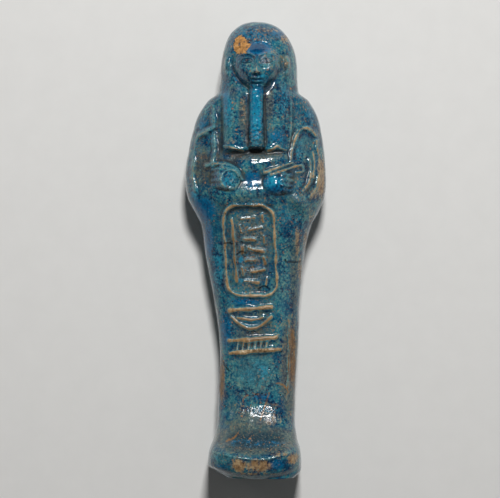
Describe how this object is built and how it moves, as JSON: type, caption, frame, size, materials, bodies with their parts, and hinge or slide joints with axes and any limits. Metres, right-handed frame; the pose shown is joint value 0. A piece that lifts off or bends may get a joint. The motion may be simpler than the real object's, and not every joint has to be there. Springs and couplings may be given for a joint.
{
  "type": "ushabti figurine",
  "caption": "Mummy-shaped funerary figurine of blue-glazed composition, lying on its flat back, with wig, false beard, crossed hands and a ringed panel of raised strokes.",
  "frame": {"origin": "under the middle of the figurine, on the surface that it lies on", "axes": "+Y from the sole to the crown, +Z from the back to the face, +X to the right as seen from above with the head away"},
  "size_m": [0.0344, 0.11, 0.026],
  "materials": {
    "blue_glaze": "glossy blue-green faience glaze, thin and buff on the raised edges"
  },
  "bodies": {
    "root": {"ushabti": "blue_glaze"}
  },
  "joints": []
}
